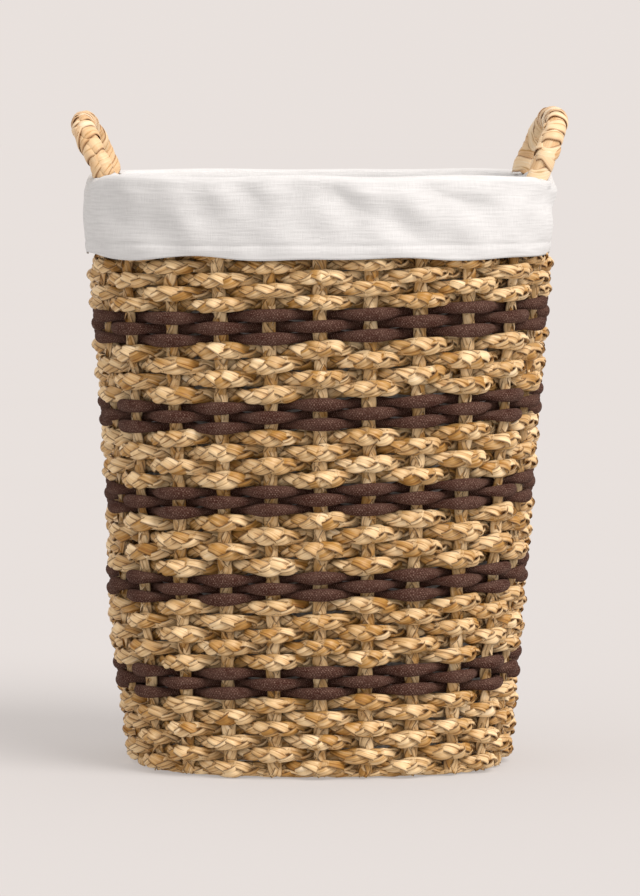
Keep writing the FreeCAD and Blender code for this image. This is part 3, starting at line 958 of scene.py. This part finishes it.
class Finish:
    """A material's nodes, with short calls for the ones used here."""

    def __init__(self, name):
        self.material = bpy.data.materials.new(name)
        self.material.use_nodes = True
        self.tree = self.material.node_tree
        self.shader = self.tree.nodes["Principled BSDF"]

    def node(self, kind, inputs=None, **settings):
        """A node with its settings, and its inputs as numbers or other nodes' outputs."""
        made = self.tree.nodes.new(kind)
        for key, value in settings.items():
            setattr(made, key, value)
        for key, value in (inputs or {}).items():
            self.feed(made.inputs[key], value)
        return made

    def feed(self, socket, value):
        """Links an output to a socket, or sets its number."""
        if isinstance(value, bpy.types.NodeSocket):
            self.tree.links.new(value, socket)
        else:
            socket.default_value = value

    def maths(self, operation, a, b=0.0):
        """One sum, product or other step."""
        made = self.node("ShaderNodeMath", operation=operation)
        self.feed(made.inputs[0], a)
        self.feed(made.inputs[1], b)
        return made.outputs[0]

    def noise(self, place, scale, detail=2.0):
        """Noise at a scale over a place."""
        return self.node("ShaderNodeTexNoise", {"Vector": place, "Scale": scale, "Detail": detail},
                         noise_dimensions="3D").outputs["Fac"]

    def ramp(self, value, stops):
        """Colours or greys along a value."""
        made = self.node("ShaderNodeValToRGB", {"Fac": value})
        band = made.color_ramp
        while len(band.elements) < len(stops):
            band.elements.new(0.5)
        for element, (position, tint) in zip(band.elements, stops):
            element.position = position
            element.color = (*tint, 1) if hasattr(tint, "__len__") else (tint, tint, tint, 1)
        return made.outputs["Color"]

    def mix(self, share, a, b):
        """Two colours mixed."""
        made = self.node("ShaderNodeMix", data_type="RGBA")
        for key, value in (("Factor_Float", share), ("A_Color", a), ("B_Color", b)):
            socket = next(s for s in made.inputs if s.identifier == key)
            if hasattr(value, "__len__") and len(value) == 3:
                value = (*value, 1)
            self.feed(socket, value)
        return next(s for s in made.outputs if s.identifier == "Result_Color")

    def attribute(self, name):
        """A stored number of the mesh."""
        return self.node("ShaderNodeAttribute", attribute_name=name).outputs["Fac"]

    def fibre_place(self, along, around):
        """Metres along and around a strand, scaled."""
        layout = self.node("ShaderNodeUVMap", uv_map="Fibre").outputs["UV"]
        scaled = self.node("ShaderNodeMapping", {"Vector": layout, "Scale": (along, around, 1)})
        return scaled.outputs[0]

    def bump(self, height, distance, strength):
        """A bumped normal."""
        inputs = {"Height": height, "Distance": distance, "Strength": strength}
        return self.node("ShaderNodeBump", inputs).outputs["Normal"]

    def surface(self, **inputs):
        """Sets the shader's own sockets."""
        for key, value in inputs.items():
            self.feed(self.shader.inputs[key.replace("_", " ")], value)
        return self.material


def leaf_finish(name, pale, middle, deep, edge_shade):
    """Dried leaf: streaked along its length, browned in blotches, with painted shade at its edges
    and along a groove.
    """
    f = Finish(name)
    tone = f.attribute("tone")
    across = f.attribute("across")
    shift = f.node("ShaderNodeCombineXYZ", {"Z": f.maths("MULTIPLY", tone, 37.0)}).outputs[0]

    def shifted_noise(along, around, detail):
        """Noise that differs from one leaf to the next."""
        place = f.node("ShaderNodeVectorMath", operation="ADD")
        f.feed(place.inputs[0], f.fibre_place(along, around))
        f.feed(place.inputs[1], shift)
        return f.noise(place.outputs[0], 1.0, detail)

    streak = shifted_noise(28, 620, 3.0)
    blotch = shifted_noise(55, 130, 2.0)
    value = f.maths("MULTIPLY", tone, 0.42)
    value = f.maths("ADD", value, f.maths("MULTIPLY", streak, 0.50))
    value = f.maths("ADD", value, f.maths("MULTIPLY", blotch, 0.46))
    tint = f.ramp(f.maths("SUBTRACT", value, 0.22), [
        (0.0, deep), (0.28, middle), (0.66, pale), (0.92, tuple(p ** 0.4 for p in pale))
    ])
    # Painted shade: each leaf darkens to the near-black slit colour towards its edges, where shade
    # falls between the leaves.
    edge = f.ramp(f.maths("ABSOLUTE", across), [(0.74, 0.0), (1.0, 0.92)])
    tint = f.mix(edge, tint, edge_shade)
    # Painted shade: a dark line in the deep colour along each leaf, where a groove would hold
    # shade; the same line is pressed into the bump.
    wander = f.maths("MULTIPLY", f.maths("SUBTRACT", tone, 0.5), 1.1)
    shaded_groove = f.maths("ABSOLUTE", f.maths("SUBTRACT", across, wander))
    shaded_groove = f.maths("ADD", shaded_groove, f.maths("MULTIPLY", f.maths("SUBTRACT", blotch, 0.5), 0.5))
    shaded_groove = f.ramp(f.maths("ABSOLUTE", shaded_groove), [(0.0, 0.75), (0.05, 0.35), (0.11, 0.0)])
    tint = f.mix(shaded_groove, tint, deep)
    relief = f.maths("SUBTRACT", streak, f.maths("MULTIPLY", shaded_groove, 0.8))
    rough = f.ramp(streak, [(0.3, 0.55), (0.7, 0.34)])
    return f.surface(Base_Color=tint, Roughness=rough, Specular_IOR_Level=0.3,
                     Normal=f.bump(relief, 0.0005, 0.8))


def cord_finish(base, fleck):
    """Knitted cord: small stitches in crossing diagonals, flecked with lighter fibres."""
    f = Finish("knitted cord")
    layout = f.node("ShaderNodeUVMap", uv_map="Fibre").outputs["UV"]
    waves = []
    for way in (1, -1):
        place = f.node("ShaderNodeMapping", {
            "Vector": layout, "Rotation": (0, 0, way * math.radians(35))
        }).outputs[0]
        waves.append(f.node("ShaderNodeTexWave", {
            "Vector": place, "Scale": 170.0, "Distortion": 1.4, "Detail": 1.0, "Detail Scale": 2.0
        }, wave_type="BANDS", bands_direction="X").outputs["Fac"])
    stitch = f.maths("MULTIPLY", waves[0], waves[1])
    speck = f.noise(f.fibre_place(640, 900), 1.0, 2.5)
    broad = f.noise(f.fibre_place(60, 40), 1.0, 2.0)
    share = f.maths("MULTIPLY", f.maths("ADD", f.maths("MULTIPLY", stitch, 0.9), 0.1),
                    f.ramp(speck, [(0.46, 0.0), (0.60, 1.0)]))
    tint = f.mix(share, base, fleck)
    tint = f.mix(f.ramp(broad, [(0.35, 0.0), (0.75, 0.18)]), tint, fleck)
    relief = f.maths("ADD", stitch, f.maths("MULTIPLY", speck, 0.5))
    return f.surface(Base_Color=tint, Roughness=0.9, Specular_IOR_Level=0.12,
                     Normal=f.bump(relief, 0.0010, 1.0))


def cotton_finish(cotton):
    """Plain woven cotton with slubs that run round the basket."""
    f = Finish("slub cotton")
    slub = f.noise(f.fibre_place(34, 520), 1.0, 2.0)
    thread = f.noise(f.fibre_place(1400, 1400), 1.0, 1.0)
    warp = f.noise(f.fibre_place(1500, 90), 1.0, 1.0)
    pale = f.ramp(f.maths("ADD", f.maths("MULTIPLY", slub, 0.6), f.maths("MULTIPLY", warp, 0.4)),
                  [(0.34, tuple(0.86 * c for c in cotton)), (0.62, cotton)])
    relief = f.maths("ADD", slub, f.maths("MULTIPLY", thread, 0.5))
    relief = f.maths("ADD", relief, f.maths("MULTIPLY", warp, 0.5))
    return f.surface(Base_Color=pale, Roughness=0.92, Specular_IOR_Level=0.2,
                     Sheen_Weight=0.15, Normal=f.bump(relief, 0.00045, 0.7))


def cane_finish(middle, deep):
    """Split cane: long fibres, some pale and some brown."""
    f = Finish("split cane")
    grain = f.noise(f.fibre_place(12, 900), 1.0, 3.0)
    tint = f.ramp(grain, [(0.3, deep), (0.55, middle)])
    return f.surface(Base_Color=tint, Roughness=0.55, Normal=f.bump(grain, 0.0003, 0.6))


def wire_finish():
    """Steel wire with a satin black skin."""
    f = Finish("black wire")
    place = f.node("ShaderNodeTexCoord").outputs["Object"]
    bloom = f.noise(place, 260.0, 3.0)
    tint = f.ramp(bloom, [(0.35, (0.035, 0.035, 0.035)), (0.65, (0.06, 0.06, 0.06))])
    return f.surface(Base_Color=tint, Roughness=f.ramp(bloom, [(0.3, 0.38), (0.7, 0.55)]))


def finishes():
    """Every material by name, made once."""
    c = bpy.context.scene.basket_colours
    pale, mid, deep, edge_shade = map(tuple, (c.leaf_pale, c.leaf_mid, c.leaf_deep, c.leaf_edge_shade))
    handle = map(tuple, (c.handle_pale, c.handle_mid))
    makers = {
        "plaited leaf": lambda: leaf_finish("plaited leaf", pale, mid, deep, edge_shade),
        # The handle leaf takes the mid colour as its groove's painted shade and the deep colour as
        # the painted shade at its edges.
        "handle leaf": lambda: leaf_finish("handle leaf", *handle, mid, deep),
        "knitted cord": lambda: cord_finish(tuple(c.cord), tuple(c.cord_fleck)),
        "slub cotton": lambda: cotton_finish(tuple(c.cotton)),
        "split cane": lambda: cane_finish(mid, deep),
        "black wire": wire_finish,
    }
    return {name: bpy.data.materials.get(name) or make() for name, make in makers.items()}


# ---------------------------------------------------------------- stage

def set_stage(colours):
    """Pale floor, soft light from all round and from the upper right, and the camera."""
    scene = bpy.context.scene
    air, floor = tuple(colours.air), tuple(colours.floor)
    f = Finish("plain backdrop")
    place = f.node("ShaderNodeTexCoord").outputs["Object"]
    tint = f.ramp(f.noise(place, 3.0, 1.0), [(0.3, tuple(0.995 * c for c in floor)), (0.7, floor)])
    # The floor glows by what it would otherwise lack to look like the air behind it.
    # At equal_light the window gives the floor as much as the air does.
    equal_light = 3.51
    window_share = colours.sun / equal_light
    f.surface(Base_Color=tint, Roughness=1.0, Specular_IOR_Level=0.0,
              Emission_Color=(*air, 1), Emission_Strength=1 - floor[0] * (1 + window_share))
    half = 150.0
    mesh = bpy.data.meshes.new("floor")
    mesh.from_pydata([(-half, -half, 0), (half, -half, 0), (half, half, 0), (-half, half, 0)],
                     [], [(0, 1, 2, 3)])
    add_object("floor", mesh, f.material)

    sun = bpy.data.lights.new("window", "SUN")
    sun.energy = colours.sun
    sun.color = tuple(c / air[0] for c in air)
    sun.angle = math.radians(38)
    lamp = bpy.data.objects.new("window", sun)
    lamp.rotation_euler = Vector((0.43, -0.39, 0.61)).to_track_quat("Z", "Y").to_euler()
    scene.collection.objects.link(lamp)
    scene.world = bpy.data.worlds.new("studio")
    scene.world.use_nodes = True
    sky = scene.world.node_tree.nodes["Background"]
    sky.inputs["Color"].default_value = (*air, 1)
    sky.inputs["Strength"].default_value = 1.0
    scene.view_settings.view_transform = "Standard"

    camera = bpy.data.objects.new("camera", bpy.data.cameras.new("camera"))
    camera.data.sensor_fit = "HORIZONTAL"
    camera.data.sensor_width = 36.0
    camera.data.lens = 273.6
    camera.data.clip_end = 40
    camera.location = (0.0, -4.506, 0.640)
    pitch = math.radians(4.44)
    camera.rotation_euler = (math.pi / 2 - pitch, 0, 0)
    scene.collection.objects.link(camera)
    scene.camera = camera


# ---------------------------------------------------------------- operators

class BASKET_OT_plait_rows(bpy.types.Operator):
    """Weave the plaited leaf rows of the wall"""
    bl_idname = "basket.plait_rows"
    bl_label = "Plaited rows"

    def execute(self, context):
        weave_plait_rows(context.scene.basket_plait, finishes()["plaited leaf"])
        return {"FINISHED"}


class BASKET_OT_cord_rows(bpy.types.Operator):
    """Weave the dark cords of the wall"""
    bl_idname = "basket.cord_rows"
    bl_label = "Dark cords"

    def execute(self, context):
        scene = context.scene
        weave_cord_rows(scene.basket_cord, scene.basket_plait.lean, finishes()["knitted cord"])
        return {"FINISHED"}


class BASKET_OT_stakes(bpy.types.Operator):
    """Plait the upright stakes"""
    bl_idname = "basket.stakes"
    bl_label = "Upright stakes"

    def execute(self, context):
        plait_stakes(context.scene.basket_plait, finishes()["plaited leaf"])
        return {"FINISHED"}


class BASKET_OT_borders(bpy.types.Operator):
    """Plait the rim border and the ground border"""
    bl_idname = "basket.borders"
    bl_label = "Borders"

    def execute(self, context):
        plait_rings(finishes()["plaited leaf"])
        return {"FINISHED"}


class BASKET_OT_floor(bpy.types.Operator):
    """Lay the floor mat and its canes"""
    bl_idname = "basket.floor"
    bl_label = "Floor"

    def execute(self, context):
        random = np.random.default_rng(37)
        lay_mat(random, finishes()["plaited leaf"])
        lay_canes(random, finishes()["split cane"])
        return {"FINISHED"}


class BASKET_OT_handles(bpy.types.Operator):
    """Wind leaf round the two hoop handles and finish their wires"""
    bl_idname = "basket.handles"
    bl_label = "Handles"

    def execute(self, context):
        made = finishes()
        wrap_handles(context.scene.basket_handle, made["handle leaf"])
        wrap_handle_legs(context.scene.basket_plait, made["handle leaf"])
        for node in ("rim_wire", "handle_core_left", "handle_core_right"):
            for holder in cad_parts[node].material_slots:
                holder.material = made["black wire"]
        return {"FINISHED"}


class BASKET_OT_liner(bpy.types.Operator):
    """Hang the cotton liner and fold its cuff over the rim"""
    bl_idname = "basket.liner"
    bl_label = "Cotton liner"

    def execute(self, context):
        settings = context.scene.basket_liner
        fold_cuff(settings, finishes()["slub cotton"])
        hang_liner(settings, finishes()["slub cotton"])
        return {"FINISHED"}


class BASKET_OT_stage(bpy.types.Operator):
    """Set the floor, the lights and the camera"""
    bl_idname = "basket.stage"
    bl_label = "Stage"

    def execute(self, context):
        set_stage(context.scene.basket_colours)
        return {"FINISHED"}


OPERATORS = (
    BASKET_OT_stage,
    BASKET_OT_plait_rows,
    BASKET_OT_cord_rows,
    BASKET_OT_stakes,
    BASKET_OT_borders,
    BASKET_OT_floor,
    BASKET_OT_handles,
    BASKET_OT_liner,
)
SETTINGS = {
    "basket_plait": PlaitSettings,
    "basket_cord": CordSettings,
    "basket_handle": HandleSettings,
    "basket_liner": LinerSettings,
    "basket_colours": ColourSettings,
}


class BASKET_PT_panel(bpy.types.Panel):
    """The basket's pieces and settings"""
    bl_idname = "BASKET_PT_panel"
    bl_label = "Laundry basket"
    bl_space_type = "VIEW_3D"
    bl_region_type = "UI"
    bl_category = "Basket"

    def draw(self, context):
        for operator in OPERATORS:
            self.layout.operator(operator.bl_idname)
        for name, group in SETTINGS.items():
            box = self.layout.box()
            for key in group.__annotations__:
                box.prop(getattr(context.scene, name), key)


def register():
    """Registers the settings, the operators and the panel."""
    for name, group in SETTINGS.items():
        bpy.utils.register_class(group)
        setattr(bpy.types.Scene, name, bpy.props.PointerProperty(type=group))
    for item in (*OPERATORS, BASKET_PT_panel):
        bpy.utils.register_class(item)


def unregister():
    """Takes them away again."""
    for item in (BASKET_PT_panel, *OPERATORS[::-1]):
        bpy.utils.unregister_class(item)
    for name, group in SETTINGS.items():
        delattr(bpy.types.Scene, name)
        bpy.utils.unregister_class(group)


def main():
    """Builds the whole scene."""
    register()
    for operator in OPERATORS:
        getattr(bpy.ops.basket, operator.bl_idname.split(".")[1])()


if __name__ == "__main__":
    main()
